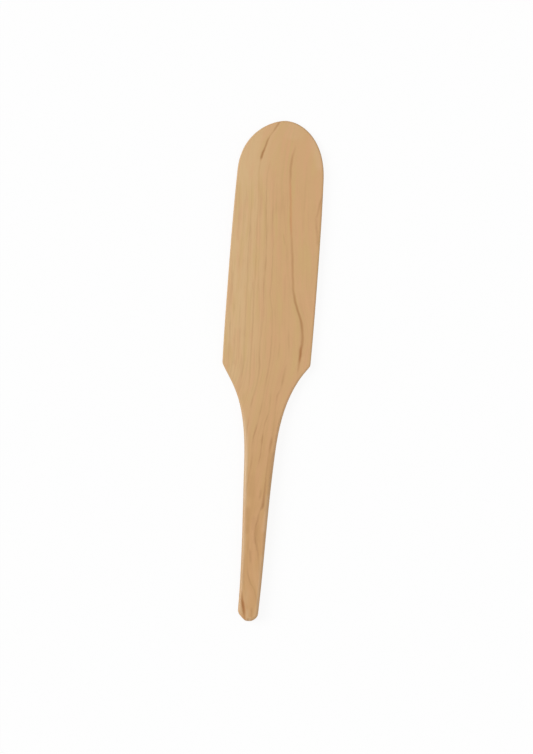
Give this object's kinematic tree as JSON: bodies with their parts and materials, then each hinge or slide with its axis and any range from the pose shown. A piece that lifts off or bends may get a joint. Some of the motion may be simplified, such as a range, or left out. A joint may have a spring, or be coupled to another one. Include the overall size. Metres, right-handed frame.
{
  "type": "tongue depressor",
  "caption": "Flat carved wooden paddle with a wide blunt-ended blade, a swept neck and a narrow handle, used to hold the tongue down.",
  "frame": {"origin": "on the flat back face, under the middle of the overall length and width", "axes": "+Y from the handle's end to the blade's tip, +Z out of the front face, +X to the right seen from the front"},
  "size_m": [0.0268, 0.15, 0.003],
  "materials": {
    "wood": "matte"
  },
  "bodies": {
    "root": {"tongue_depressor": "wood"}
  },
  "joints": []
}
